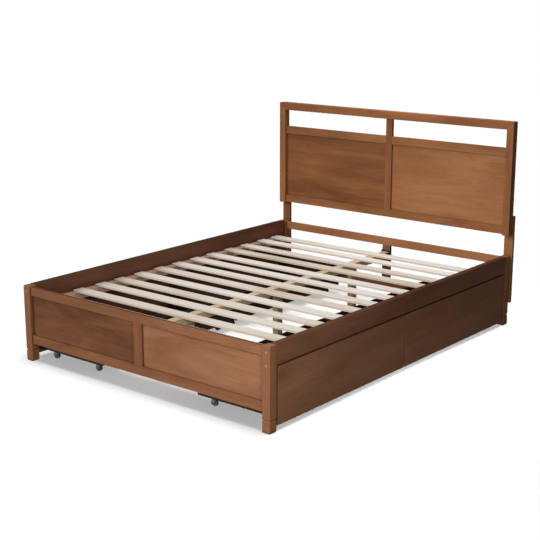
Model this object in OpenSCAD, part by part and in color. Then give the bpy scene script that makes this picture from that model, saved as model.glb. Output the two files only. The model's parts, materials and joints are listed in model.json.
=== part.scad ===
// Platform bed with four storage drawers that roll on casters.
// Millimetres. +Z is up and +Y points at the headboard. The origin lies on the
// floor, in the middle of the bed's footprint.

/* [Bed] */
// Width over the corner posts
bed_w = 1600; // [1580:2:1620]
// Length from the front of the footboard posts to the back of the headboard legs
bed_l = 2132; // [2100:2:2180]
// Height of the headboard
bed_h = 1141; // [1100:1:1200]

/* [Posts and feet] */
// Side of the square corner posts
post = 44; // [42:1:46]
// Height of the corner posts
post_h = 395; // [392:1:400]
// Height of the separate feet
foot_h = 57; // [50:1:60]
// Height of the groove between a foot and its post
foot_groove = 2; // [1:1:4]
// Chamfer on the posts and the feet
post_chamfer = 3; // [1:1:4]

/* [Footboard] */
// How far the footboard's rails stand back from the posts
foot_setback = 8; // [6:1:10]
// Thickness of the footboard's rails
foot_rail_t = 19; // [18:1:22]
// Bottom of the upper rail
foot_top_low = 345; // [340:1:348]
// Height of the upper rail
foot_top_h = 44; // [40:1:44]
// Bottom of the lower rail
foot_low_low = 92; // [80:1:100]
// Height of the lower rail
foot_low_h = 46.5; // [44:0.5:50]
// Width of the stile in the middle
foot_stile_w = 54; // [48:1:60]

/* [Headboard] */
// How far the headboard's frame stands out past the corner posts
head_overhang = 5; // [3:1:6]
// Width of the frame's stiles
head_stile_w = 41; // [38:1:44]
// Height of the frame's top rail
head_top_h = 44; // [40:1:48]
// How far the inner rails stand back from the frame
head_setback = 11; // [10:1:12]
// Thickness of the inner rails and of the legs
board_t = 18; // [16:1:18]
// Bottom of the middle rail
head_mid_low = 951; // [930:1:955]
// Height of the middle rail
head_mid_h = 45; // [42:1:48]
// Bottom of the bottom rail
head_low_low = 518; // [516:1:540]
// Height of the bottom rail
head_low_h = 44; // [42:1:48]
// Bottom of the frame's stiles
head_stile_z = 514; // [510:1:516]
// Width of the stile in the middle
head_mid_stile_w = 42; // [40:1:46]
// Width of a headboard leg
leg_w = 53; // [50:1:54]
// How far a headboard leg stands out past the corner posts
leg_overhang = 11; // [8:1:12]
// Bottom of a headboard leg
leg_low = 126; // [100:1:160]
// Length of a headboard leg
leg_h = 493; // [480:1:540]

/* [Side rails] */
// Thickness of a side rail
rail_t = 30; // [28:1:31]
// Bottom of a side rail's outer face
rail_low = 307; // [306:1:308]
// Height of a side rail's outer face
rail_h = 89; // [86:1:92]
// How far a rail's outer face stands in from the posts
rail_setback = 2; // [1:1:3]
// Height of the tongue that hangs below the outer face
tongue_h = 11; // [10:1:11]
// Depth of the finger gap in front of the tongue
finger_depth = 9; // [8:1:10]

/* [Slats] */
// Space between the end of a slat and the side rail
slat_play = 13; // [8:1:16]
// Width of a slat
slat_w = 65; // [60:1:70]
// Thickness of a slat
slat_t = 10; // [9:1:12]
// Even distance from one slat to the next
slat_pitch = 149.5; // [148:0.5:150]
// Height of the ledgers' tops, where the slats lie
slat_z = 307; // [304:1:309]
// Width of a ledger
ledger_w = 40; // [38:1:44]
// Height of a ledger
ledger_h = 38; // [36:1:40]

/* [Centre beam] */
// Width of the beam
beam_w = 46; // [44:1:48]
// Height of the beam
beam_h = 38; // [36:1:40]
// Side of the square legs under the beam
beam_leg = 38; // [36:1:44]
// Distance from the foot end to the first leg
beam_leg_first = 360; // [340:5:380]
// Distance from one leg to the next
beam_leg_pitch = 687; // [680:1:700]
// Width of the stile that carries the beam at the head end
rear_stile_w = 53; // [50:1:56]

/* [Drawers] */
// Bottom of a drawer front
front_low = 25; // [20:1:30]
// Top of a drawer front
front_high = 293; // [288:1:293]
// Thickness of a drawer front
front_t = 18; // [16:1:18]
// Gap between a drawer front and a post
front_gap = 12; // [8:1:14]
// Gap between two neighbouring fronts
front_seam = 4; // [3:1:6]
// Gap between a closed drawer front and the rail behind it
front_play = 1; // [1:0.5:2]
// Bottom of a drawer's box
box_low = 50; // [48:1:54]
// Height of a drawer's box
box_h = 145; // [120:1:200]
// Depth of a drawer's box behind its front
box_depth = 463; // [440:1:480]
// Thickness of the box's sides and back
box_t = 12; // [10:1:15]
// Thickness of the box's bottom
bottom_t = 9; // [6:1:12]
// How far the box stands in from the ends of its front
box_inset = 14; // [12:1:20]

/* [Casters] */
// Radius of a wheel
wheel_r = 18; // [16:1:20]
// Width of a wheel
wheel_w = 16; // [12:1:18]
// Radius of the axle
axle_r = 3; // [2.5:0.5:3]
// Thickness of the fork's steel
fork_t = 1.5; // [1.2:0.1:2]
// Length of the plate that holds the fork
plate_l = 42; // [40:1:50]
// Width of the plate
plate_w = 36; // [32:1:40]
// Distance from a side of the box to the middle of a caster
caster_inset = 42; // [36:1:60]
// Distance from the back of the box to its inner row of casters
caster_inner = 68; // [40:1:100]
// Distance from the back of the box to its outer row of casters
caster_outer = 381; // [340:1:400]

/* [Hidden] */
$fn = 64;
clearance = 0.05;

foot_y = -bed_l / 2;
head_y = bed_l / 2 - board_t - post;
post_x = bed_w / 2 - post;
post_z = foot_h + foot_groove;

foot_rail_y = foot_y + foot_setback;
foot_top_z = [foot_top_low, foot_top_low + foot_top_h];
foot_low_z = [foot_low_low, foot_low_low + foot_low_h];

head_rail_y = head_y + head_setback;
head_w = bed_w + 2 * head_overhang;
head_inner_x = head_w / 2 - head_stile_w;
head_top_z = bed_h - head_top_h;
head_mid_z = [head_mid_low, head_mid_low + head_mid_h];
head_low_z = [head_low_low, head_low_low + head_low_h];

// Thickness of the panels, and how deep their edges sit in the frames
panel_t = 8;
panel_let_in = 8;
foot_panel_y = foot_rail_y + 10;
head_panel_y = head_rail_y + 9;

rail_x = bed_w / 2 - rail_setback - rail_t;
rail_z = [rail_low, rail_low + rail_h];
ledger_x = rail_x - ledger_w;
ledger_z = [slat_z - ledger_h, slat_z];
ledger_end = 46;

// The slats are laid by hand: how far each one lies from its even place
slat_first = 202;
slat_drift = [0, 0, 5, -10, -8, -4, -9, -10, -18, -8, -12, 2, -15];
slat_back = [for (i = [0 : len(slat_drift) - 1]) foot_y + slat_first + i * slat_pitch + slat_drift[i]];
slat_end = rail_x - slat_play;

beam_z = slat_z - beam_h;
bracket_t = 2.5;
beam_y = [foot_rail_y + foot_rail_t + bracket_t + 1, head_rail_y - bracket_t - 1];
beam_leg_y = [for (i = [0 : 2]) foot_y + beam_leg_first + i * beam_leg_pitch];

front_l = (head_y - foot_y - post - 2 * front_gap - front_seam) / 2;
front_x = bed_w / 2 - rail_setback - front_t;
box_x = front_x - box_depth;
box_l = front_l - 2 * box_inset;
box_z = [box_low, box_low + box_h];

// A caster's fork, seen from its axle
plate_t = 2;
cheek_y = wheel_w / 2 + 1;
cheek_r = 6;
fork_half = 13;
fork_top = box_low - plate_t - wheel_r;

// Bolts through the posts into the ends of the side rails
bolt_x = rail_x + 12;
bolt_zs = [306, 366];
bolt_r = 3;
bolt_head_r = 6;
bolt_head_t = 2;
bolt_reach = 45;
nut_r = 5;
nut_l = 16;
nut_depth = 32;

// Bolts through the headboard legs into the headboard
head_bolt_x = head_w / 2 - 20;
head_bolt_zs = [540, 595];
head_bolt_reach = 30;

dowel_r = 4;
dowel_l = 36;
foot_dowel_y = foot_rail_y + foot_rail_t / 2;
head_dowel_y = head_rail_y + board_t / 2;

screw_r = 2;
screw_head_r = 4;
slat_screw_l = 35;
slat_screw_x = slat_end - 14;
ledger_screw_l = ledger_w + 8;
ledger_screw_n = 7;

// Each drawer's name, then its side of the bed in X and in Y
DRAWERS = [
    ["left_foot_drawer", -1, -1],
    ["right_foot_drawer", 1, -1],
    ["left_head_drawer", -1, 1],
    ["right_head_drawer", 1, 1]
];
DRAWER_PARTS = [
    "front", "sides", "back", "bottom",
    "casters", "axles", "inner_wheels", "outer_wheels"
];
FRAME_PARTS = [
    "footboard_posts", "footboard_top_rail", "footboard_bottom_rail",
    "footboard_centre_stile", "footboard_panels", "feet",
    "headboard_stiles", "headboard_top_rail", "headboard_mid_rails",
    "headboard_bottom_rail", "headboard_centre_stile", "headboard_panels",
    "headboard_legs", "rear_posts", "rear_cross_rails", "rear_centre_stile",
    "side_rails", "slat_ledgers", "centre_beam", "centre_beam_legs",
    "beam_brackets", "slats", "slat_screws", "ledger_screws",
    "rail_bolts", "barrel_nuts", "headboard_bolts", "frame_dowels"
];

walnut = "#93603f";
dark_walnut = "#6b4630";
pine = "#e6cdb2";
pink_pine = "#d9b39b";
beige = "#cbb28e";
plywood = "#8a6a50";
black_steel = "#26262a";
zinc = "#c9c6c0";
dark_plastic = "#2f3034";

// Helpers

// A box from its lowest and highest value on each axis
module block(x, y, z) {
    translate([x[0], y[0], z[0]])
        cube([x[1] - x[0], y[1] - y[0], z[1] - z[0]]);
}

// The children, and their mirror image on the other side of the bed
module both_sides() {
    for (side = [0, 1])
        mirror([side, 0, 0])
            children();
}

// The outline of a bar's section with its four corners cut off
module chamfered_square(w, h, c) {
    polygon([
        [c, 0], [w - c, 0], [w, c], [w, h - c],
        [w - c, h], [c, h], [0, h - c], [0, c]
    ]);
}

// A square upright with chamfered ends, from z[0] to z[1]
module upright(x, y, z, side, c) {
    h = z[1] - z[0];
    translate([x, y, z[0]])
        intersection() {
            translate([0, side, 0])
                rotate([90, 0, 0])
                    linear_extrude(side)
                        chamfered_square(side, h, c);
            rotate([90, 0, 90])
                linear_extrude(side)
                    chamfered_square(side, h, c);
        }
}

module cylinder_x(r, l) {
    rotate([0, 90, 0])
        cylinder(r = r, h = l);
}

module cylinder_y(r, l) {
    rotate([-90, 0, 0])
        cylinder(r = r, h = l);
}

// A countersunk screw along Z: its tip at 0 and its flat head at l
module screw(r, head_r, l) {
    head_h = head_r - r + 0.5;
    rotate_extrude()
        polygon([
            [0, 0], [r * 0.2, 0], [r, r * 2], [r, l - head_h],
            [head_r, l - 0.5], [head_r, l], [0, l]
        ]);
}

// Dowels. The holes are drawn by the same module with a larger radius.

module dowel_x(x, y, z, r) {
    translate([x - dowel_l / 2, y, z])
        cylinder_x(r, dowel_l);
}

module dowel_z(x, y, z, r) {
    translate([x, y, z - dowel_l / 2])
        cylinder(r = r, h = dowel_l);
}

module footboard_dowels(r) {
    both_sides() {
        for (z = [foot_top_z[0] + 15, foot_top_z[1] - 9, foot_low_z[0] + 12, foot_low_z[1] - 17])
            dowel_x(post_x, foot_dowel_y, z, r);
        for (z = [foot_top_z[0], foot_low_z[1]])
            dowel_z(10, foot_dowel_y, z, r);
    }
}

module headboard_dowels(r) {
    both_sides() {
        for (z = [head_low_z[0] + 10, head_low_z[1] - 18, head_mid_z[0] + 19, head_mid_z[1] - 10])
            dowel_x(head_inner_x, head_dowel_y, z, r);
        for (z = [head_mid_z[0] + 19, head_mid_z[1] - 10])
            dowel_x(head_mid_stile_w / 2, head_dowel_y, z, r);
        for (z = [head_low_z[1], head_top_z])
            dowel_z(7, head_dowel_y, z, r);
    }
}

module rear_frame_dowels(r) {
    both_sides() {
        for (z = [foot_top_z[0] + 11, foot_top_z[1] - 11, foot_low_z[0] + 12, foot_low_z[1] - 12])
            dowel_x(post_x, head_dowel_y, z, r);
        for (z = [foot_top_z[0], foot_low_z[1]])
            dowel_z(12, head_dowel_y, z, r);
    }
}

module frame_dowels() {
    color(beige) {
        footboard_dowels(dowel_r);
        headboard_dowels(dowel_r);
        rear_frame_dowels(dowel_r);
    }
}

// Bolts

module rail_bolt_holes() {
    both_sides()
        for (z = bolt_zs)
            translate([bolt_x, foot_y - 1, z])
                cylinder_y(bolt_r + 0.5, post + nut_depth + 20);
    both_sides()
        for (z = bolt_zs)
            translate([bolt_x, head_y - nut_depth - 19, z])
                cylinder_y(bolt_r + 0.5, post + board_t + nut_depth + 20);
}

module nut_places() {
    both_sides()
        for (y = [foot_y + post + nut_depth, head_y - nut_depth])
            for (z = bolt_zs)
                translate([bolt_x, y, z])
                    children();
}

// One bolt along Y: its head's outer face at -bolt_head_t, its shank to l
module bolt(l) {
    difference() {
        union() {
            translate([0, -bolt_head_t, 0])
                cylinder_y(bolt_head_r, bolt_head_t);
            translate([0, -0.5, 0])
                cylinder_y(bolt_r, l + 0.5);
        }
        translate([0, -bolt_head_t - 1, 0])
            rotate([-90, 0, 0])
                cylinder(r = 2.2, h = 2.4, $fn = 6);
    }
}

module rail_bolts() {
    color(zinc)
        both_sides()
            for (z = bolt_zs) {
                translate([bolt_x, foot_y, z])
                    bolt(post + bolt_reach);
                translate([bolt_x, bed_l / 2, z])
                    mirror([0, 1, 0])
                        bolt(board_t + post + bolt_reach);
            }
}

module barrel_nuts() {
    color(zinc)
        nut_places()
            difference() {
                translate([-nut_l / 2, 0, 0])
                    cylinder_x(nut_r, nut_l);
                translate([0, -nut_r - 1, 0])
                    cylinder_y(bolt_r + clearance, 2 * nut_r + 2);
            }
}

module head_bolt_holes() {
    both_sides()
        for (z = head_bolt_zs)
            translate([head_bolt_x, bed_l / 2 - board_t - head_bolt_reach - 1, z])
                cylinder_y(bolt_r + clearance, board_t + head_bolt_reach + 2);
}

module headboard_bolts() {
    color(zinc)
        both_sides()
            for (z = head_bolt_zs)
                translate([head_bolt_x, bed_l / 2, z])
                    mirror([0, 1, 0])
                        bolt(board_t + head_bolt_reach);
}

// Footboard

module footboard_posts() {
    color(walnut)
        difference() {
            both_sides()
                upright(post_x, foot_y, [post_z, post_h], post, post_chamfer);
            footboard_panel_slabs();
            footboard_dowels(dowel_r + clearance);
            rail_bolt_holes();
        }
}

module feet() {
    neck = 4;
    color(walnut)
        both_sides()
            for (y = [foot_y, head_y]) {
                upright(post_x, y, [0, foot_h], post, post_chamfer);
                block(
                    [post_x + neck, post_x + post - neck],
                    [y + neck, y + post - neck],
                    [foot_h - 1, post_z]
                );
            }
}

// The panels with the edges that are let into the rails, the stile and the posts
module footboard_panel_slabs() {
    both_sides()
        block(
            [foot_stile_w / 2 - panel_let_in, post_x + panel_let_in],
            [foot_panel_y, foot_panel_y + panel_t],
            [foot_low_z[1] - panel_let_in, foot_top_z[0] + panel_let_in]
        );
}

module footboard_rail(z) {
    difference() {
        block([-post_x, post_x], [foot_rail_y, foot_rail_y + foot_rail_t], z);
        footboard_panel_slabs();
        footboard_dowels(dowel_r + clearance);
    }
}

module footboard_top_rail() {
    color(walnut)
        footboard_rail(foot_top_z);
}

module footboard_bottom_rail() {
    color(walnut)
        footboard_rail(foot_low_z);
}

module footboard_centre_stile() {
    color(walnut)
        difference() {
            block(
                [-foot_stile_w / 2, foot_stile_w / 2],
                [foot_rail_y, foot_rail_y + foot_rail_t],
                [foot_low_z[1], foot_top_z[0]]
            );
            footboard_panel_slabs();
            footboard_dowels(dowel_r + clearance);
        }
}

module footboard_panels() {
    color(dark_walnut)
        footboard_panel_slabs();
}

// Headboard

// The headboard's outer frame: the top rail and both stiles, mitred at the corners
module headboard_stiles() {
    outer = head_w / 2;
    color(dark_walnut)
        difference() {
            both_sides()
                translate([0, head_y + post, 0])
                    rotate([90, 0, 0])
                        linear_extrude(post)
                            polygon([
                                [head_inner_x, head_stile_z], [outer, head_stile_z],
                                [outer, bed_h], [head_inner_x, head_top_z]
                            ]);
            headboard_panel_slabs();
            headboard_dowels(dowel_r + clearance);
            head_bolt_holes();
        }
}

module headboard_top_rail() {
    outer = head_w / 2;
    color(dark_walnut)
        difference() {
            translate([0, head_y + post, 0])
                rotate([90, 0, 0])
                    linear_extrude(post)
                        polygon([
                            [-head_inner_x, head_top_z], [head_inner_x, head_top_z],
                            [outer, bed_h], [-outer, bed_h]
                        ]);
            headboard_dowels(dowel_r + clearance);
        }
}

module headboard_panel_slabs() {
    both_sides()
        block(
            [head_mid_stile_w / 2 - panel_let_in, head_inner_x + panel_let_in],
            [head_panel_y, head_panel_y + panel_t],
            [head_low_z[1] - panel_let_in, head_mid_z[0] + panel_let_in]
        );
}

// A board in the plane of the headboard's inner rails
module headboard_board(x, z) {
    difference() {
        block(x, [head_rail_y, head_rail_y + board_t], z);
        headboard_panel_slabs();
        headboard_dowels(dowel_r + clearance);
    }
}

module headboard_mid_rails() {
    color(dark_walnut)
        both_sides()
            headboard_board([head_mid_stile_w / 2, head_inner_x], head_mid_z);
}

module headboard_bottom_rail() {
    color(dark_walnut)
        headboard_board([-head_inner_x, head_inner_x], head_low_z);
}

module headboard_centre_stile() {
    color(dark_walnut)
        headboard_board(
            [-head_mid_stile_w / 2, head_mid_stile_w / 2],
            [head_low_z[1], head_top_z]
        );
}

module headboard_panels() {
    color(dark_walnut)
        headboard_panel_slabs();
}

module headboard_legs() {
    outer = bed_w / 2 + leg_overhang;
    color(dark_walnut)
        difference() {
            both_sides()
                block(
                    [outer - leg_w, outer],
                    [head_y + post, bed_l / 2],
                    [leg_low, leg_low + leg_h]
                );
            rail_bolt_holes();
            head_bolt_holes();
        }
}

// Head end of the base

module rear_posts() {
    color(dark_walnut)
        difference() {
            both_sides()
                upright(post_x, head_y, [post_z, post_h], post, post_chamfer);
            rear_frame_dowels(dowel_r + clearance);
            rail_bolt_holes();
        }
}

// The two rails between the rear posts lie level with the footboard's rails
module rear_cross_rails() {
    color(dark_walnut)
        difference() {
            for (z = [foot_top_z, foot_low_z])
                block([-post_x, post_x], [head_rail_y, head_rail_y + board_t], z);
            rear_frame_dowels(dowel_r + clearance);
        }
}

module rear_centre_stile() {
    half = rear_stile_w / 2;
    color(dark_walnut)
        difference() {
            block(
                [-half, half],
                [head_rail_y, head_rail_y + board_t],
                [foot_low_z[1], foot_top_z[0]]
            );
            rear_frame_dowels(dowel_r + clearance);
        }
}

// Side rails, ledgers, beam and slats

// A side rail's section. Below the outer face a tongue is set back, which leaves
// a gap for the fingers, and behind the drawer fronts a thin lip backs the ledger.
module side_rail_section() {
    outer = rail_x + rail_t;
    tongue_x = outer - finger_depth;
    tongue_z = rail_z[0] - tongue_h;
    lip_x = front_x - front_play;
    polygon([
        [rail_x, rail_z[1]], [outer, rail_z[1]], [outer, rail_z[0]], [tongue_x, rail_z[0]],
        [tongue_x, tongue_z], [lip_x, tongue_z], [lip_x, ledger_z[0]], [rail_x, ledger_z[0]]
    ]);
}

module side_rails() {
    nut_hole_l = nut_l / 2 + bolt_x - rail_x;
    color(walnut)
        difference() {
            both_sides()
                translate([0, head_y, 0])
                    rotate([90, 0, 0])
                        linear_extrude(head_y - foot_y - post)
                            side_rail_section();
            rail_bolt_holes();
            nut_places()
                translate([rail_x - bolt_x - 1, 0, 0])
                    cylinder_x(nut_r + clearance, nut_hole_l + 1);
            ledger_screw_places()
                screw(screw_r + clearance, screw_head_r + clearance, ledger_screw_l);
        }
}

module ledger_screw_places() {
    first = foot_y + 135;
    step = (head_y - foot_y - 240) / (ledger_screw_n - 1);
    both_sides()
        for (i = [0 : ledger_screw_n - 1])
            translate([ledger_x + ledger_screw_l, first + i * step, slat_z - ledger_h / 2])
                rotate([0, -90, 0])
                    children();
}

module slat_ledgers() {
    color(pink_pine)
        difference() {
            both_sides()
                block(
                    [ledger_x, rail_x],
                    [foot_y + post + ledger_end, head_y - ledger_end],
                    ledger_z
                );
            ledger_screw_places()
                screw(screw_r + clearance, screw_head_r + clearance, ledger_screw_l);
            slat_screw_places()
                screw(screw_r + clearance, screw_head_r + clearance, slat_screw_l);
        }
}

module ledger_screws() {
    color(zinc)
        ledger_screw_places()
            screw(screw_r, screw_head_r, ledger_screw_l);
}

module slats() {
    color(pine)
        difference() {
            for (y = slat_back)
                block([-slat_end, slat_end], [y - slat_w, y], [slat_z, slat_z + slat_t]);
            slat_screw_places()
                screw(screw_r + clearance, screw_head_r + clearance, slat_screw_l);
        }
}

module slat_screw_places() {
    both_sides()
        for (y = slat_back)
            translate([slat_screw_x, y - slat_w / 2, slat_z + slat_t - slat_screw_l])
                children();
}

module slat_screws() {
    color(zinc)
        slat_screw_places()
            screw(screw_r, screw_head_r, slat_screw_l);
}

module centre_beam() {
    color(pine)
        block([-beam_w / 2, beam_w / 2], beam_y, [beam_z, slat_z]);
}

module centre_beam_legs() {
    color(beige)
        for (y = beam_leg_y)
            block([-beam_leg / 2, beam_leg / 2], [y - beam_leg / 2, y + beam_leg / 2], [0, beam_z]);
}

// A hanger that holds one end of the beam: its back plate lies on y = 0, with a
// flange out past each side of the beam, and the beam runs off along +Y
module beam_bracket() {
    half = beam_w / 2 + 0.3;
    reach = 42;
    flange = 9;
    block(
        [-half - flange, half + flange],
        [0, bracket_t],
        [beam_z - bracket_t, slat_z + slat_t - 1]
    );
    block([-half - bracket_t, half + bracket_t], [0, reach], [beam_z - bracket_t, beam_z]);
    for (side = [0, 1])
        mirror([side, 0, 0])
            block([half, half + bracket_t], [0, reach], [beam_z - bracket_t, slat_z - 3]);
}

module beam_brackets() {
    color(black_steel) {
        translate([0, foot_rail_y + foot_rail_t, 0])
            beam_bracket();
        translate([0, head_rail_y, 0])
            mirror([0, 1, 0])
                beam_bracket();
    }
}

// Drawers. Each part is drawn once, for the drawer at +X whose length runs
// from y = 0 to y = front_l, and is placed by place_drawer.

// The children, moved to the drawer on the given side of the bed
module place_drawer(side_x, side_y) {
    mirror([side_x < 0 ? 1 : 0, 0, 0])
        if (side_y < 0)
            translate([0, foot_y + post + front_gap, 0])
                children();
        else
            translate([0, head_y - front_gap, 0])
                mirror([0, 1, 0])
                    children();
}

module drawer_front() {
    color(dark_walnut)
        block([front_x, front_x + front_t], [0, front_l], [front_low, front_high]);
}

module drawer_sides() {
    color(plywood)
        for (y = [box_inset, box_inset + box_l - box_t])
            block([box_x, front_x], [y, y + box_t], box_z);
}

module drawer_back() {
    color(plywood)
        block(
            [box_x, box_x + box_t],
            [box_inset + box_t, box_inset + box_l - box_t],
            box_z
        );
}

module drawer_bottom() {
    color(plywood)
        block(
            [box_x + box_t, front_x],
            [box_inset + box_t, box_inset + box_l - box_t],
            [box_z[0], box_z[0] + bottom_t]
        );
}

// The children at the axle of both casters in each of the given rows
module caster_places(rows) {
    for (row = rows)
        for (y = [box_inset + caster_inset, box_inset + box_l - caster_inset])
            translate([box_x + row, y, wheel_r])
                children();
}

// The cheek on one side of a caster's wheel
module fork_cheek() {
    translate([0, cheek_y, 0])
        cylinder_y(cheek_r, fork_t);
    translate([0, cheek_y + fork_t, 0])
        rotate([90, 0, 0])
            linear_extrude(fork_t)
                polygon([
                    [-cheek_r, 0], [cheek_r, 0],
                    [fork_half, fork_top], [-fork_half, fork_top]
                ]);
}

module drawer_casters() {
    fork_y = cheek_y + fork_t;
    color(zinc)
        caster_places([caster_inner, caster_outer])
            difference() {
                union() {
                    fork_cheek();
                    mirror([0, 1, 0])
                        fork_cheek();
                    block(
                        [-fork_half, fork_half],
                        [-fork_y, fork_y],
                        [fork_top - fork_t, fork_top]
                    );
                    block(
                        [-plate_l / 2, plate_l / 2],
                        [-plate_w / 2, plate_w / 2],
                        [fork_top, fork_top + plate_t]
                    );
                }
                translate([0, -fork_y - 1, 0])
                    cylinder_y(axle_r, 2 * fork_y + 2);
            }
}

module drawer_axles() {
    half = cheek_y + fork_t;
    head_t = 1;
    color(zinc)
        caster_places([caster_inner, caster_outer]) {
            translate([0, -half, 0])
                cylinder_y(axle_r, 2 * half);
            for (y = [-half - head_t, half])
                translate([0, y, 0])
                    cylinder_y(axle_r + 1.5, head_t);
        }
}

// Both wheels of one row, with a hollow in each face around the hub
module wheels(row) {
    hollow = 2;
    hub_r = 7;
    color(dark_plastic)
        caster_places([row])
            difference() {
                translate([0, -wheel_w / 2, 0])
                    cylinder_y(wheel_r, wheel_w);
                translate([0, -wheel_w / 2 - 1, 0])
                    cylinder_y(axle_r + clearance, wheel_w + 2);
                for (y = [-wheel_w / 2 - 1, wheel_w / 2 - hollow])
                    translate([0, y, 0])
                        difference() {
                            cylinder_y(wheel_r - 4, hollow + 1);
                            translate([0, -1, 0])
                                cylinder_y(hub_r, hollow + 3);
                        }
            }
}

module drawer_part(part) {
    if (part == "front") drawer_front();
    if (part == "sides") drawer_sides();
    if (part == "back") drawer_back();
    if (part == "bottom") drawer_bottom();
    if (part == "casters") drawer_casters();
    if (part == "axles") drawer_axles();
    if (part == "inner_wheels") wheels(caster_inner);
    if (part == "outer_wheels") wheels(caster_outer);
}

footboard_posts();
footboard_top_rail();
footboard_bottom_rail();
footboard_centre_stile();
footboard_panels();
feet();
headboard_stiles();
headboard_top_rail();
headboard_mid_rails();
headboard_bottom_rail();
headboard_centre_stile();
headboard_panels();
headboard_legs();
rear_posts();
rear_cross_rails();
rear_centre_stile();
side_rails();
slat_ledgers();
centre_beam();
centre_beam_legs();
beam_brackets();
slats();
slat_screws();
ledger_screws();
rail_bolts();
barrel_nuts();
headboard_bolts();
frame_dowels();
for (drawer = DRAWERS)
    for (part = DRAWER_PARTS)
        place_drawer(drawer[1], drawer[2])
                drawer_part(part);
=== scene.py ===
"""The looks of a platform bed with four storage drawers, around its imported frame.

The boards and fittings are the frame's own solids, which get rounded edges and materials here. The casters'
wheels are modelled in more detail and stand for their nodes. Everything is in metres, with +Z up.
"""

import json
import math

import bmesh
import bpy
from mathutils import Matrix, Vector

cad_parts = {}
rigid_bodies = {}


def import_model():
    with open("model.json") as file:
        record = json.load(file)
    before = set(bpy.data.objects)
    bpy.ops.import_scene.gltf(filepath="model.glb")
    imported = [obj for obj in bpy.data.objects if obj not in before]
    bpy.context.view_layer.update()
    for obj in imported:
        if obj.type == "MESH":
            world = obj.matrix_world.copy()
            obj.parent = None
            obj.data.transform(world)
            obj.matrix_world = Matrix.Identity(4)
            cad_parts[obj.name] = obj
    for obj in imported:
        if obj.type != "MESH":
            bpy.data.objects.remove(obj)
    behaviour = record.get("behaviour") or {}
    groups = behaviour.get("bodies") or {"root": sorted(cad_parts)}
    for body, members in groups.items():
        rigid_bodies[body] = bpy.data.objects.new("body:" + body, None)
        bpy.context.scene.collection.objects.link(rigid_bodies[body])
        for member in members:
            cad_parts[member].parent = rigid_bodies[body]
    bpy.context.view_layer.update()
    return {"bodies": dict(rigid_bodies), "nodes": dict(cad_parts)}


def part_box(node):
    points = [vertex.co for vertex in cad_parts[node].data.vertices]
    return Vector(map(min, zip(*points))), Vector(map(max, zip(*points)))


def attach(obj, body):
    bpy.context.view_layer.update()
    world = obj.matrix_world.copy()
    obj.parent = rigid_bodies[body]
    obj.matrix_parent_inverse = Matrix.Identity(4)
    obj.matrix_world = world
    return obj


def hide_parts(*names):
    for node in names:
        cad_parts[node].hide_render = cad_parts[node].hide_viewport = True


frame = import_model()

DRAWERS = [body for body in frame["bodies"] if body.endswith("_drawer")]


# Colours

def linear(red, green, blue):
    """A colour given in 0 to 255 as a screen shows it, in the linear values that shaders take."""
    def one(value):
        value /= 255
        return value / 12.92 if value <= 0.04045 else ((value + 0.055) / 1.055) ** 2.4
    return one(red), one(green), one(blue), 1.0


def shade(colour, factor, lift=0.0):
    """A colour made darker or lighter."""
    return tuple(min(1.0, factor * value + lift) for value in colour[:3]) + (1.0,)


# Woods, as (dark, middle, light)
WALNUT = (linear(104, 63, 40), linear(146, 96, 65), linear(172, 120, 86))
WALNUT_HEAD = (linear(104, 60, 32), linear(146, 94, 56), linear(172, 118, 78))
WALNUT_SIDE = (linear(92, 58, 40), linear(124, 82, 58), linear(146, 100, 72))
WALNUT_DRAWER = (linear(100, 66, 47), linear(138, 94, 66), linear(160, 112, 80))
PINE = (linear(211, 194, 174), linear(238, 227, 214), linear(246, 240, 232))
BEAM_PINE = (linear(176, 148, 106), linear(208, 184, 142), linear(226, 206, 168))
LEDGER_PINE = (linear(190, 142, 118), linear(220, 178, 154), linear(234, 200, 178))
BEIGE = (linear(164, 140, 108), linear(200, 178, 144), linear(216, 198, 168))
# the drawer boxes' dark ply, made darker still as painted shade
SHADED_BOX_PLY = (linear(58, 40, 30), linear(80, 58, 43), linear(98, 74, 56))

# pale edge colour: partly wear, partly a painted highlight
WEAR_AND_HIGHLIGHT_EDGE = linear(172, 126, 94)
ZINC = linear(196, 192, 184)
BLACK_STEEL = linear(34, 34, 37)
BOLT_STEEL = linear(188, 154, 132)
FORK_STEEL = linear(176, 172, 166)
TREAD_GREY = linear(104, 102, 101)
HUB_GREY = linear(74, 73, 74)
FLOOR_GREY = (0.82, 0.82, 0.82, 1.0)
WHITE = (1.0, 1.0, 1.0, 1.0)


# Materials

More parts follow.
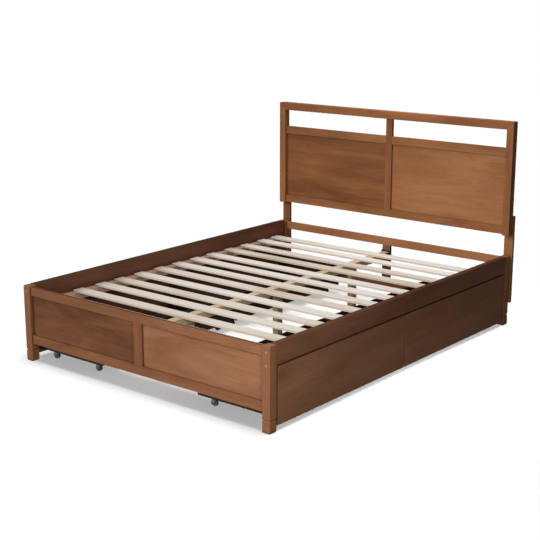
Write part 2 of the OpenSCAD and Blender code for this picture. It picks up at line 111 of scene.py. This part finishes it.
class Nodes:
    """A material's node tree, with a short call for each kind of node. Most calls return an output."""

    RAYS = 6    # how many the nodes that look for edges and gaps send out

    def __init__(self, name):
        self.material = bpy.data.materials.new(name)
        self.material.use_nodes = True
        self.tree = self.material.node_tree
        self.shader = self.tree.nodes["Principled BSDF"]

    def add(self, kind, inputs=None, **settings):
        """Adds a node and returns it."""
        node = self.tree.nodes.new(kind)
        for key, value in settings.items():
            setattr(node, key, value)
        for key, value in (inputs or {}).items():
            self.feed(node.inputs[key], value)
        return node

    def feed(self, socket, value):
        """Links an output to an input, or sets the input to a constant."""
        if isinstance(value, bpy.types.NodeSocket):
            self.tree.links.new(value, socket)
        else:
            socket.default_value = value

    def finish(self, **inputs):
        """Sets the shader's inputs and returns the material. A name's underscores stand for spaces."""
        for key, value in inputs.items():
            self.feed(self.shader.inputs[key.replace("_", " ")], value)
        return self.material

    def place(self):
        """Where a point lies, in metres."""
        return self.add("ShaderNodeTexCoord").outputs["Object"]

    def true_normal(self):
        """Where the surface faces, rounding and bumps left out."""
        return self.add("ShaderNodeNewGeometry").outputs["True Normal"]

    def math(self, operation, a, b=0.0, clamp=False):
        return self.add("ShaderNodeMath", {0: a, 1: b}, operation=operation, use_clamp=clamp).outputs[0]

    def vector(self, operation, a, b=(0, 0, 0), c=(0, 0, 0), gives="Vector"):
        return self.add("ShaderNodeVectorMath", {0: a, 1: b, 2: c}, operation=operation).outputs[gives]

    def spread(self, value, low, high, new_low=0.0, new_high=1.0):
        """Maps low to high onto new_low to new_high, and holds the ends."""
        inputs = {0: value, 1: low, 2: high, 3: new_low, 4: new_high}
        return self.add("ShaderNodeMapRange", inputs, clamp=True).outputs[0]

    def sway(self, value, amount):
        """How far a value lies from a half, times an amount."""
        return self.math("MULTIPLY", self.math("SUBTRACT", value, 0.5), amount)

    def noise(self, place, scale, detail=2.0, rough=0.5, warp=0.0):
        inputs = {"Vector": place, "Scale": scale, "Detail": detail, "Roughness": rough, "Distortion": warp}
        return self.add("ShaderNodeTexNoise", inputs).outputs["Fac"]

    def mix(self, share, a, b, blend="MIX"):
        # the sockets for colours come after those for numbers and vectors
        inputs = {0: share, 6: a, 7: b}
        return self.add("ShaderNodeMix", inputs, data_type="RGBA", blend_type=blend).outputs[2]

    def ramp(self, value, stops):
        node = self.add("ShaderNodeValToRGB", {0: value})
        elements = node.color_ramp.elements
        while len(elements) < len(stops):
            elements.new(0.5)
        for element, (place, colour) in zip(elements, stops):
            element.position = place
            element.color = colour
        return node.outputs[0]

    def bump(self, height, depth, strength):
        inputs = {"Height": height, "Distance": depth, "Strength": strength}
        return self.add("ShaderNodeBump", inputs).outputs[0]

    def edges(self, radius):
        """How close to a sharp edge a point lies: 0 on flat ground and up to 1 on an edge."""
        rounded = self.add("ShaderNodeBevel", {"Radius": radius}, samples=self.RAYS).outputs[0]
        agree = self.vector("DOT_PRODUCT", rounded, self.true_normal(), gives="Value")
        return self.spread(agree, 0.995, 0.80)

    def openness(self, reach):
        """How open a point lies: 0 deep in a gap or corner, and 1 where nothing is within reach."""
        node = self.add("ShaderNodeAmbientOcclusion", {"Distance": reach}, samples=self.RAYS)
        return node.outputs["AO"]


# The axis that the fibres run along comes last
GRAIN_ORDER = {"X": ("Y", "Z", "X"), "Y": ("Z", "X", "Y"), "Z": ("X", "Y", "Z")}


def wood(name, grain, tones, seed, streaks=0.5, pores=0.25, board_change=0.08, roughness=0.5, wear_and_highlight=False,
         ring=0.006, knots=0.0, boards=(0.0, 0.0, 0.0), first_board=0.0, painted_edge_shade=0.0):
    """Sawn wood: wavy growth lines along the grain, streaks, soft clouds of stain, fibres and pores.

    grain is the axis that the fibres run along, tones are (dark, middle, light) and ring is the distance
    between growth lines. Where one node holds several boards, boards is how many lie side by side in a metre
    along each axis, and first_board moves their borders along Y. board_change is how much the boards differ.
    wear_and_highlight adds pale edges, partly wear and partly a painted highlight, and painted_edge_shade is
    how much painted shade darkens the narrow faces along Y.
    """
    n = Nodes(name)
    dark, middle, light = tones
    deep = shade(dark, 0.45)

    # each board is cut from its own place in the wood
    place = n.place()
    axes = n.add("ShaderNodeSeparateXYZ", {0: place}).outputs
    grain_last = {i: axes[axis] for i, axis in enumerate(GRAIN_ORDER[grain])}
    laid = n.add("ShaderNodeCombineXYZ", grain_last).outputs[0]
    number = n.vector("MULTIPLY_ADD", place, boards, (seed, first_board, 0.0))
    number = n.vector("ADD", n.vector("FLOOR", number), (0.5, 0.5, 0.5))
    dice = n.add("ShaderNodeTexWhiteNoise", {"Vector": number}, noise_dimensions="3D").outputs
    cut = n.vector("ADD", laid, n.vector("MULTIPLY", dice["Color"], (3.7, 5.1, 17.3)))

    def along(share):
        """Places for a pattern that keeps only a share of its scale along the grain."""
        return n.vector("MULTIPLY", cut, (1.0, 1.0, share))

    # growth lines: slices through rings that bend slowly along the board
    depth = n.vector("DOT_PRODUCT", cut, (0.50, 0.42, 0.0), gives="Value")
    wander = n.math("MULTIPLY", n.noise(along(0.13), scale=3.1), 0.17)
    rings = n.math("FRACT", n.math("DIVIDE", n.math("ADD", depth, wander), ring))
    late = n.math("MULTIPLY", n.math("POWER", rings, 2.2), n.spread(rings, 1.0, 0.86))

    streak = n.noise(along(0.06), scale=38.0, detail=4.0, rough=0.6, warp=0.3)
    cloud = n.noise(along(0.25), scale=6.0, detail=4.0, rough=0.55, warp=0.8)
    fibre = n.noise(along(0.03), scale=900.0, rough=0.6)
    pore = n.spread(n.noise(along(0.05), scale=520.0, detail=1.0), 0.62, 0.70)

    tone = 0.55
    for change in (n.sway(streak, 0.8 * streaks), n.sway(cloud, 1.2), n.math("MULTIPLY", late, -0.09),
                   n.sway(fibre, 0.22), n.sway(dice["Value"], 4 * board_change)):
        tone = n.math("ADD", tone, change)
    colour = n.ramp(tone, [(0.05, dark), (0.5, middle), (0.95, light)])
    colour = n.mix(n.math("MULTIPLY", pore, pores), colour, deep)

    if knots:
        spot = n.add("ShaderNodeTexVoronoi", {"Vector": along(0.55), "Scale": 3.2}).outputs["Distance"]
        halo = n.spread(spot, 0.16, 0.03)
        core = n.spread(spot, 0.050, 0.016)
        colour = n.mix(n.math("MULTIPLY", halo, 0.35 * knots), colour, dark)
        colour = n.mix(n.math("MULTIPLY", core, knots), colour, deep)

    # pale edges: partly wear, partly a painted highlight on the rounded edges
    if wear_and_highlight:
        patchy = n.spread(n.noise(cut, scale=45.0, detail=3.0), 0.36, 0.60, 0.12, 0.55)
        colour = n.mix(n.math("MULTIPLY", n.edges(0.0035), patchy), colour, WEAR_AND_HIGHLIGHT_EDGE)

    # painted shade: darker deep in gaps and corners
    colour = n.mix(n.spread(n.openness(0.03), 0.80, 0.20, 0.0, 0.85), colour, deep)

    # painted shade: the narrow faces along Y are darkened
    if painted_edge_shade:
        faces_y = n.vector("LENGTH", n.vector("MULTIPLY", n.true_normal(), (0.0, 1.0, 0.0)), gives="Value")
        colour = n.mix(n.spread(faces_y, 0.3, 0.9, 0.0, painted_edge_shade), colour, dark, "MULTIPLY")

    matt = n.math("ADD", n.sway(fibre, 0.22), roughness)
    height = n.math("SUBTRACT", n.math("MULTIPLY", fibre, 0.55), n.math("MULTIPLY", pore, 0.8))
    height = n.math("SUBTRACT", height, n.math("MULTIPLY", late, 0.25))
    return n.finish(Base_Color=colour,
                    Roughness=n.math("ADD", matt, n.math("MULTIPLY", pore, 0.2), clamp=True),
                    Normal=n.bump(height, 0.00025, 0.5),
                    Specular_IOR_Level=0.22)


def metal(name, colour, roughness, metallic=1.0):
    """Plated or painted metal with fine unevenness and brighter edges."""
    n = Nodes(name)
    place = n.place()
    fine = n.noise(place, scale=900.0, detail=3.0, rough=0.6)
    blotch = n.noise(place, scale=70.0, detail=3.0)
    tone = n.mix(n.spread(blotch, 0.35, 0.68), shade(colour, 0.72), colour)
    tone = n.mix(n.math("MULTIPLY", n.edges(0.0012), 0.7), tone, shade(colour, 1.35, 0.03))
    return n.finish(Base_Color=tone,
                    Metallic=metallic,
                    Roughness=n.math("ADD", n.sway(fine, 0.12), roughness, clamp=True),
                    Normal=n.bump(fine, 0.00008, 0.35))


def plastic(name, colour, roughness):
    """Moulded plastic or rubber with a fine spark texture and dust in it."""
    n = Nodes(name)
    place = n.place()
    fine = n.noise(place, scale=1400.0, rough=0.6)
    dust = n.spread(n.noise(place, scale=120.0, detail=4.0, rough=0.6), 0.48, 0.75, 0.0, 0.35)
    return n.finish(Base_Color=n.mix(dust, colour, shade(colour, 1.8, 0.02)),
                    Roughness=n.math("ADD", n.sway(fine, 0.2), roughness, clamp=True),
                    Normal=n.bump(fine, 0.0001, 0.4))


# The frame's own solids

def finish_node(node, material, edge=0.0, segments=2):
    """Gives a CAD node its material, joins its faces, and rounds its edges by the given radius."""
    piece = frame["nodes"][node]
    piece.data.materials.clear()
    piece.data.materials.append(material)
    weld = piece.modifiers.new("joined_faces", "WELD")
    weld.merge_threshold = 0.00001
    if edge:
        flat = piece.modifiers.new("flat_faces", "DECIMATE")
        flat.decimate_type = "DISSOLVE"
        flat.angle_limit = math.radians(0.5)
        round_off = piece.modifiers.new("rounded_edges", "BEVEL")
        round_off.width = edge
        round_off.segments = segments
        round_off.limit_method = "ANGLE"
        round_off.angle_limit = math.radians(40)
        round_off.harden_normals = True


# With these, a border through the middle of the bed parts the left board from the right one, or two borders
# part the four corners
PAIR = {"boards": (0.1, 0.0, 0.0)}
CORNERS = {"boards": (0.1, 0.1, 0.0)}

# name: (grain, tones, edge radius, further settings)
BOARDS = {
    "footboard_posts": ("Z", WALNUT, 0.006, PAIR),
    "feet": ("Z", WALNUT, 0.006, CORNERS),
    "footboard_top_rail": ("X", WALNUT, 0.0025, {}),
    "footboard_bottom_rail": ("X", WALNUT, 0.002, {}),
    "footboard_centre_stile": ("Z", WALNUT, 0.0015, {}),
    "footboard_panels": ("X", WALNUT, 0.0, {"board_change": 0.14} | PAIR),
    "headboard_stiles": ("Z", WALNUT_HEAD, 0.0025, PAIR),
    "headboard_top_rail": ("X", WALNUT_HEAD, 0.0025, {}),
    "headboard_mid_rails": ("X", WALNUT_HEAD, 0.002, PAIR),
    "headboard_bottom_rail": ("X", WALNUT_HEAD, 0.002, {}),
    "headboard_centre_stile": ("Z", WALNUT_HEAD, 0.0015, {}),
    "headboard_panels": ("X", WALNUT_HEAD, 0.0, {"board_change": 0.14, "seed": 116} | PAIR),
    "headboard_legs": ("Z", WALNUT_HEAD, 0.0025, PAIR),
    "rear_posts": ("Z", WALNUT_HEAD, 0.006, PAIR),
    "rear_cross_rails": ("X", WALNUT_HEAD, 0.002, {}),
    "rear_centre_stile": ("Z", WALNUT_SIDE, 0.002, {}),
    "side_rails": ("Y", WALNUT_SIDE, 0.003, PAIR),
}

for number, (node, (grain, tones, edge, more)) in enumerate(BOARDS.items()):
    material = wood(node + "_wood", grain, tones, **{"seed": number, "wear_and_highlight": True} | more)
    finish_node(node, material, edge, segments=3)

# Thirteen slats, one in each cell along Y. The first border between them lies this far towards the foot.
SLAT_CELL = 0.1495
SLAT_BORDER = 0.849
SLAT_CELLS = {"boards": (0.0, 1 / SLAT_CELL, 0.0), "first_board": SLAT_BORDER / SLAT_CELL}

slat_pine = wood("slat_pine", "X", PINE, 31, streaks=0.6, pores=0.05, board_change=0.14, roughness=0.62,
                 ring=0.0045, knots=0.8, painted_edge_shade=0.4, **SLAT_CELLS)
ledger_wood = wood("ledger_wood", "Y", LEDGER_PINE, 32, pores=0.1, roughness=0.6, **PAIR)
beam_pine = wood("beam_pine", "Y", BEAM_PINE, 33, pores=0.05, roughness=0.6, knots=0.8)
beam_leg_wood = wood("beam_leg_wood", "Z", BEIGE, 34, pores=0.1, roughness=0.6)
dowel_beech = wood("dowel_beech", "X", BEIGE, 35, pores=0.3, roughness=0.6)
zinc = metal("zinc_plate", ZINC, 0.34)
bolt_plate = metal("bolt_plate", BOLT_STEEL, 0.5, metallic=0.2)
fork_steel = metal("fork_steel", FORK_STEEL, 0.45, metallic=0.4)
black_steel = metal("black_coated_steel", BLACK_STEEL, 0.45, metallic=0.0)
tread_rubber = plastic("tread_rubber", TREAD_GREY, 0.7)
hub_plastic = plastic("hub_plastic", HUB_GREY, 0.5)

finish_node("slats", slat_pine, 0.0015)
finish_node("slat_ledgers", ledger_wood, 0.0015)
finish_node("centre_beam", beam_pine, 0.002)
finish_node("centre_beam_legs", beam_leg_wood, 0.002)
finish_node("frame_dowels", dowel_beech)
finish_node("beam_brackets", black_steel, 0.0006)
for node in ("slat_screws", "ledger_screws", "barrel_nuts"):
    finish_node(node, zinc)
for node in ("rail_bolts", "headboard_bolts"):
    finish_node(node, bolt_plate)


# Wheels

MM = 0.001
WHEEL_HALF_WIDTH = 8.0 * MM
STEPS_ROUND = 64

# Each outline gives (distance from the axle, place along the axle) in millimetres
TYRE = [(12.4, -6.6), (13.0, -7.6), (14.0, -8.0), (16.2, -8.0), (17.4, -7.2), (18.0, -5.6),
        (18.0, 5.6), (17.4, 7.2), (16.2, 8.0), (14.0, 8.0), (13.0, 7.6), (12.4, 6.6)]
HUB = [(3.2, -8.0), (5.8, -8.0), (6.5, -7.4), (6.6, -5.2), (12.4, -4.8),
       (12.4, 4.8), (6.6, 5.2), (6.5, 7.4), (5.8, 8.0), (3.2, 8.0)]

RIBS = 6
RIB_LENGTH, RIB_DEPTH, RIB_WIDTH = 6.2 * MM, 1.8 * MM, 1.2 * MM
RIB_FROM_AXLE = 9.4 * MM
RIB_FROM_MIDDLE = 5.4 * MM


def revolve(mesh, outline, centre):
    """Adds a closed outline turned round the axle at the centre."""
    rings = []
    for i in range(STEPS_ROUND):
        angle = 2 * math.pi * i / STEPS_ROUND
        spoke = Vector((math.sin(angle), 0.0, -math.cos(angle)))
        points = [r * spoke + Vector((0.0, y, 0.0)) for r, y in outline]
        rings.append([mesh.verts.new(centre + point * MM) for point in points])
    for here, there in zip(rings, rings[1:] + rings[:1]):
        for i in range(len(outline)):
            mesh.faces.new((here[i - 1], here[i], there[i], there[i - 1]))


def rib(mesh, centre, turn, side):
    """Adds one rib between a hub and its rim, on the given side of the wheel."""
    shape = Matrix.Diagonal((RIB_LENGTH, RIB_DEPTH, RIB_WIDTH, 1.0))
    place = Matrix.Translation((RIB_FROM_AXLE, side * RIB_FROM_MIDDLE, 0.0))
    around = Matrix.Translation(centre) @ Matrix.Rotation(turn, 4, "Y")
    bmesh.ops.create_cube(mesh, size=1.0, matrix=around @ place @ shape)


def wheel_piece(name, node, mesh, material):
    """Turns a mesh into a piece that rides with its wheels and stands for their node."""
    bmesh.ops.recalc_face_normals(mesh, faces=mesh.faces)
    for face in mesh.faces:
        face.smooth = True
    data = bpy.data.meshes.new(name)
    mesh.to_mesh(data)
    mesh.free()
    data.set_sharp_from_angle(angle=math.radians(40))
    data.materials.append(material)
    piece = bpy.data.objects.new(name, data)
    bpy.context.scene.collection.objects.link(piece)
    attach(piece, node)
    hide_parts(node)


def caster_wheels(node):
    """The two wheels of one row: tyres with rounded shoulders on hubs with ribs."""
    low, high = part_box(node)
    tyres, hubs = bmesh.new(), bmesh.new()
    for y in (low[1] + WHEEL_HALF_WIDTH, high[1] - WHEEL_HALF_WIDTH):
        centre = Vector(((low[0] + high[0]) / 2, y, (low[2] + high[2]) / 2))
        revolve(tyres, TYRE, centre)
        revolve(hubs, HUB, centre)
        for i in range(RIBS):
            for side in (-1, 1):
                rib(hubs, centre, 2 * math.pi * i / RIBS, side)
    wheel_piece(node + "_tyres", node, tyres, tread_rubber)
    wheel_piece(node + "_hubs", node, hubs, hub_plastic)


# Drawers

for number, drawer in enumerate(DRAWERS):
    front_wood = wood(drawer + "_front_wood", "Y", WALNUT_DRAWER, 110 + number, wear_and_highlight=True)
    box_wood = wood(drawer + "_box_wood", "Y", SHADED_BOX_PLY, 60 + number, roughness=0.6)
    finish_node(drawer + "_front", front_wood, 0.002)
    for part in ("sides", "back", "bottom"):
        finish_node(drawer + "_" + part, box_wood, 0.0008)
    finish_node(drawer + "_casters", fork_steel, 0.0004)
    finish_node(drawer + "_axles", zinc)
    for row in ("inner", "outer"):
        caster_wheels(drawer + "_" + row + "_wheels")


# Stage: pale floor, soft studio light and the camera

def floor():
    """A pale floor that stays white around the bed, and sends no light back up."""
    bpy.ops.mesh.primitive_plane_add(size=60)
    plane = bpy.context.object
    plane.name = "floor"
    plane.data.materials.append(Nodes("pale_floor").finish(Base_Color=FLOOR_GREY, Roughness=0.9,
                                                           Specular_IOR_Level=0.0))
    plane.visible_diffuse = False
    plane.visible_glossy = False
    return plane


def flag():
    """Keeps the light that falls in behind the footboard off the floor. No view shows it."""
    bpy.ops.mesh.primitive_plane_add(size=1, location=(0.0, -0.95, 0.25))
    card = bpy.context.object
    card.name = "flag"
    card.scale = (1.5, 0.17, 1.0)
    card.data.materials.append(Nodes("flag_card").material)
    for ray in ("camera", "diffuse", "glossy", "transmission"):
        setattr(card, "visible_" + ray, False)


def lamp(name, kind, energy, at, towards, lit=None, spared=(), shadow=True, mirrored=True, **settings):
    """A sun or an area light, for one object only (lit) or for all but a few (spared)."""
    data = bpy.data.lights.new(name, kind)
    data.energy = energy
    data.use_shadow = shadow
    for key, value in settings.items():
        setattr(data, key, value)
    light = bpy.data.objects.new(name, data)
    bpy.context.scene.collection.objects.link(light)
    light.location = at
    light.rotation_euler = (Vector(towards) - Vector(at)).to_track_quat("-Z", "Y").to_euler()
    light.visible_glossy = mirrored
    light.visible_camera = False
    group = bpy.data.collections.new(name + "_receivers")
    for item in [lit] if lit else spared:
        group.objects.link(item)
    for link in group.collection_objects:
        link.light_linking.link_state = "INCLUDE" if lit else "EXCLUDE"
    light.light_linking.receiver_collection = group


def world(strength):
    """White to the camera, and a weaker soft light to everything else."""
    sky = bpy.data.worlds.new("studio")
    bpy.context.scene.world = sky
    sky.use_nodes = True
    nodes = sky.node_tree.nodes
    background = nodes["Background"]
    seen = nodes.new("ShaderNodeLightPath")
    level = nodes.new("ShaderNodeMapRange")
    level.inputs["To Min"].default_value = strength
    level.inputs["To Max"].default_value = 1.0
    sky.node_tree.links.new(seen.outputs["Is Camera Ray"], level.inputs["Value"])
    sky.node_tree.links.new(level.outputs[0], background.inputs["Strength"])
    background.inputs["Color"].default_value = WHITE


def camera():
    """Looks from the foot end's right, a little above the headboard."""
    data = bpy.data.cameras.new("camera")
    data.sensor_width = 36.0
    data.lens = 77.94
    eye = bpy.data.objects.new("camera", data)
    bpy.context.scene.collection.objects.link(eye)
    eye.location = (3.7507, -4.6920, 1.9105)
    eye.rotation_euler = (math.radians(75.806), 0.0, math.radians(39.138))
    bpy.context.scene.camera = eye


ORIGIN = (0.0, 0.0, 0.0)
ground = floor()
rims = [frame["nodes"][node] for node in ("side_rails", "footboard_top_rail")]
flag()
camera()
world(0.075)

# The bed's lights spare the floor, and those from above and behind also the rims, whose tops would shine
lamp("key", "AREA", 29.5, (1.3, -3.5, 2.0), (0.0, -0.4, 0.4), spared=[ground], size=1.2)
lamp("side_box", "AREA", 19.5, (2.3, -2.0, 1.0), (0.8, -0.6, 0.2), spared=[ground], size=0.8)
lamp("top_box", "AREA", 26.0, (0.0, 0.9, 2.5), (0.0, 0.8, 0.0), spared=[ground] + rims, size=1.0)
lamp("front_fill", "SUN", 1.57, (-0.30, -0.88, 0.45), ORIGIN, spared=[ground], angle=math.radians(30))
lamp("back_fill", "SUN", 0.98, (-0.5, 0.8, 0.5), ORIGIN, spared=[ground] + rims, mirrored=False,
     angle=math.radians(40))

# The floor's lights: an even base, a sun that casts the soft shadow under the bed, and two lights that make
# this shadow paler along the right side and in the middle
lamp("floor_base", "SUN", 1.45, (0.0, 0.0, 1.0), ORIGIN, lit=ground, shadow=False)
lamp("floor_sun", "SUN", 2.2, (0.06, 0.0, 1.0), ORIGIN, lit=ground, angle=math.radians(24))
lamp("floor_side", "AREA", 17.0, (1.6, 0.0, 0.45), (0.8, 0.0, 0.0), lit=ground,
     shape="RECTANGLE", size=0.25, size_y=2.6)
lamp("floor_middle", "AREA", 0.9, (0.0, 0.4, 0.25), (0.0, 0.4, 0.0), lit=ground, shadow=False,
     shape="RECTANGLE", size=0.4, size_y=1.0)

bpy.context.scene.view_settings.view_transform = "Standard"
